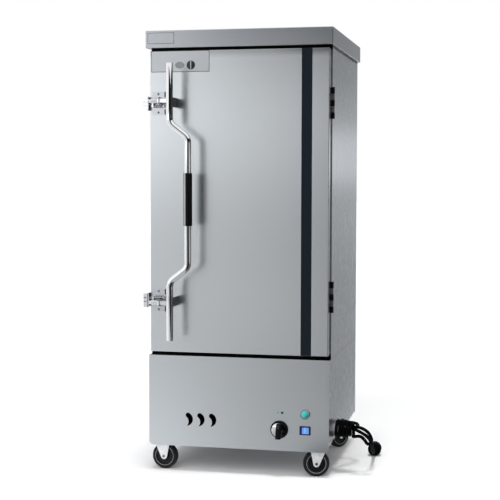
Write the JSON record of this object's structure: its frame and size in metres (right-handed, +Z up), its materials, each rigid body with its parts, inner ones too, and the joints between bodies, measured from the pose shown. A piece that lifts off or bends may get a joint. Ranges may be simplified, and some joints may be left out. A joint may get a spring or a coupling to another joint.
{
  "type": "rice steaming cart",
  "caption": "Tall insulated steam cabinet on swivel casters, with a one-piece hinged door, a latched pull bar, a water tank with heaters below, and a folded supply cable at the side.",
  "frame": {"origin": "on the floor under the middle of the whole cart without its free cable", "axes": "+Z up, front with the door towards -Y, +X to the right as seen from the front"},
  "size_m": [0.8684, 0.912, 1.684],
  "materials": {
    "steel": "fine satin",
    "chrome": "polished",
    "bezel_chrome": "satin",
    "zinc": "bright zinc plate",
    "spring_steel": "drawn wire",
    "element_steel": "heat tinted",
    "brass": "machined",
    "foam": "rigid foam",
    "seal_rubber": "silicone seal",
    "black_film": "gloss film",
    "black_plastic": "moulded",
    "red_plastic": "dipped sleeve",
    "navy_plastic": "moulded",
    "blue_plastic": "moulded",
    "lens_plastic": "tinted lens",
    "cable_rubber": "matt sheath",
    "tyre_black": "moulded tyre and hub"
  },
  "bodies": {
    "cart": {"top_cap": "steel", "left_panel": "steel", "right_panel": "steel", "rear_panel": "steel", "front_frame": "steel", "chamber_liner": "steel", "insulation": "foam", "tray_racks": "steel", "water_tank": "steel", "splash_plate": "steel", "heating_elements": "element_steel", "float_valve": "brass", "steam_vent": "steel", "drain_pipe": "steel", "drain_valve": "brass", "base_front_panel": "steel", "base_left_panel": "steel", "base_right_panel": "steel", "base_rear_panel": "steel", "base_deck": "steel", "floor_pan": "steel", "power_regulator": "black_plastic", "lamp_bezel": "bezel_chrome", "lamp_lens": "lens_plastic", "switch_frame": "navy_plastic", "cabinet_hinge_leaves": "steel", "hinge_pins": "steel", "keepers": "chrome", "caster_plates": "zinc", "caster_bolts": "zinc", "cable_gland": "black_plastic", "cable_coil": "cable_rubber", "cable_runs": "cable_rubber", "cable_plug": "cable_rubber"},
    "door": {"door_skin": "steel", "door_foam": "foam", "door_liner": "steel", "door_gasket": "seal_rubber", "door_stripe": "black_film", "door_hinge_leaves": "steel", "latch_bases": "chrome", "latch_springs": "spring_steel", "lever_pins": "chrome"},
    "pull_handle": {"latch_levers": "chrome", "handle_bar": "chrome", "handle_grip": "black_plastic"},
    "bolts": {"latch_bolts": "chrome"},
    "knob": {"control_knob": "black_plastic"},
    "rocker": {"switch_rocker": "blue_plastic"},
    "float": {"float_arm": "steel"},
    "drain_handle": {"drain_lever": "red_plastic"},
    "front_left_swivel": {"front_left_caster_fork": "zinc"},
    "front_left_wheel": {"front_left_caster_wheel": "tyre_black"},
    "front_right_swivel": {"front_right_caster_fork": "zinc"},
    "front_right_wheel": {"front_right_caster_wheel": "tyre_black"},
    "rear_left_swivel": {"rear_left_caster_fork": "zinc"},
    "rear_left_wheel": {"rear_left_caster_wheel": "tyre_black"},
    "rear_right_swivel": {"rear_right_caster_fork": "zinc"},
    "rear_right_wheel": {"rear_right_caster_wheel": "tyre_black"}
  },
  "joints": [
    {"name": "door_swing", "type": "hinge", "parent": "cart", "child": "door", "pos_m": [0.3558, -0.2975, 1.0345], "axis": [0, 0, 1], "range_deg": [0, 110]},
    {"name": "latch_pull", "type": "hinge", "parent": "door", "child": "pull_handle", "pos_m": [-0.298, -0.3755, 1.0345], "axis": [0, 0, -1], "range_deg": [0, 25], "stiffness_Nm_per_rad": 4, "springref_deg": -5.73},
    {"name": "bolt_slide", "type": "slide", "parent": "door", "child": "bolts", "axis": [1, 0, 0], "range_m": [0, 0.0086], "deforming": ["latch_springs"]},
    {"name": "knob_turn", "type": "hinge", "parent": "cart", "child": "knob", "pos_m": [0.1617, -0.335, 0.179], "axis": [0, 1, 0], "range_deg": [0, 270]},
    {"name": "switch_tip", "type": "hinge", "parent": "cart", "child": "rocker", "pos_m": [0.2605, -0.329, 0.179], "axis": [0, 0, -1], "range_deg": [0, 16]},
    {"name": "float_lift", "type": "hinge", "parent": "cart", "child": "float", "pos_m": [-0.19, 0.2715, 0.426], "axis": [-1, 0, 0], "range_deg": [0, 26]},
    {"name": "drain_turn", "type": "hinge", "parent": "cart", "child": "drain_handle", "pos_m": [0.13, 0.4073, 0.2285], "axis": [0, 0, -1], "range_deg": [0, 90]},
    {"name": "front_left_swivel_turn", "type": "hinge", "parent": "cart", "child": "front_left_swivel", "pos_m": [-0.305, -0.294, 0.115], "axis": [0, 0, 1], "continuous": true},
    {"name": "front_left_wheel_spin", "type": "hinge", "parent": "front_left_swivel", "child": "front_left_wheel", "pos_m": [-0.29702, -0.29456, 0.05], "axis": [0.0698, 0.9976, 0], "continuous": true},
    {"name": "front_right_swivel_turn", "type": "hinge", "parent": "cart", "child": "front_right_swivel", "pos_m": [0.305, -0.294, 0.115], "axis": [0, 0, 1], "continuous": true},
    {"name": "front_right_wheel_spin", "type": "hinge", "parent": "front_right_swivel", "child": "front_right_wheel", "pos_m": [0.29718, -0.29566, 0.05], "axis": [-0.2079, 0.9781, 0], "continuous": true},
    {"name": "rear_left_swivel_turn", "type": "hinge", "parent": "cart", "child": "rear_left_swivel", "pos_m": [-0.306, 0.245, 0.115], "axis": [0, 0, 1], "continuous": true},
    {"name": "rear_left_wheel_spin", "type": "hinge", "parent": "rear_left_swivel", "child": "rear_left_wheel", "pos_m": [-0.29907, 0.249, 0.05], "axis": [-0.5, 0.866, 0], "continuous": true},
    {"name": "rear_right_swivel_turn", "type": "hinge", "parent": "cart", "child": "rear_right_swivel", "pos_m": [0.306, 0.245, 0.115], "axis": [0, 0, 1], "continuous": true},
    {"name": "rear_right_wheel_spin", "type": "hinge", "parent": "rear_right_swivel", "child": "rear_right_wheel", "pos_m": [0.30086, 0.23887, 0.05], "axis": [-0.766, 0.6428, 0], "continuous": true}
  ],
  "couplings": [
    {"joint": "bolt_slide", "follows": "latch_pull", "m_per_rad": 0.019371}
  ]
}
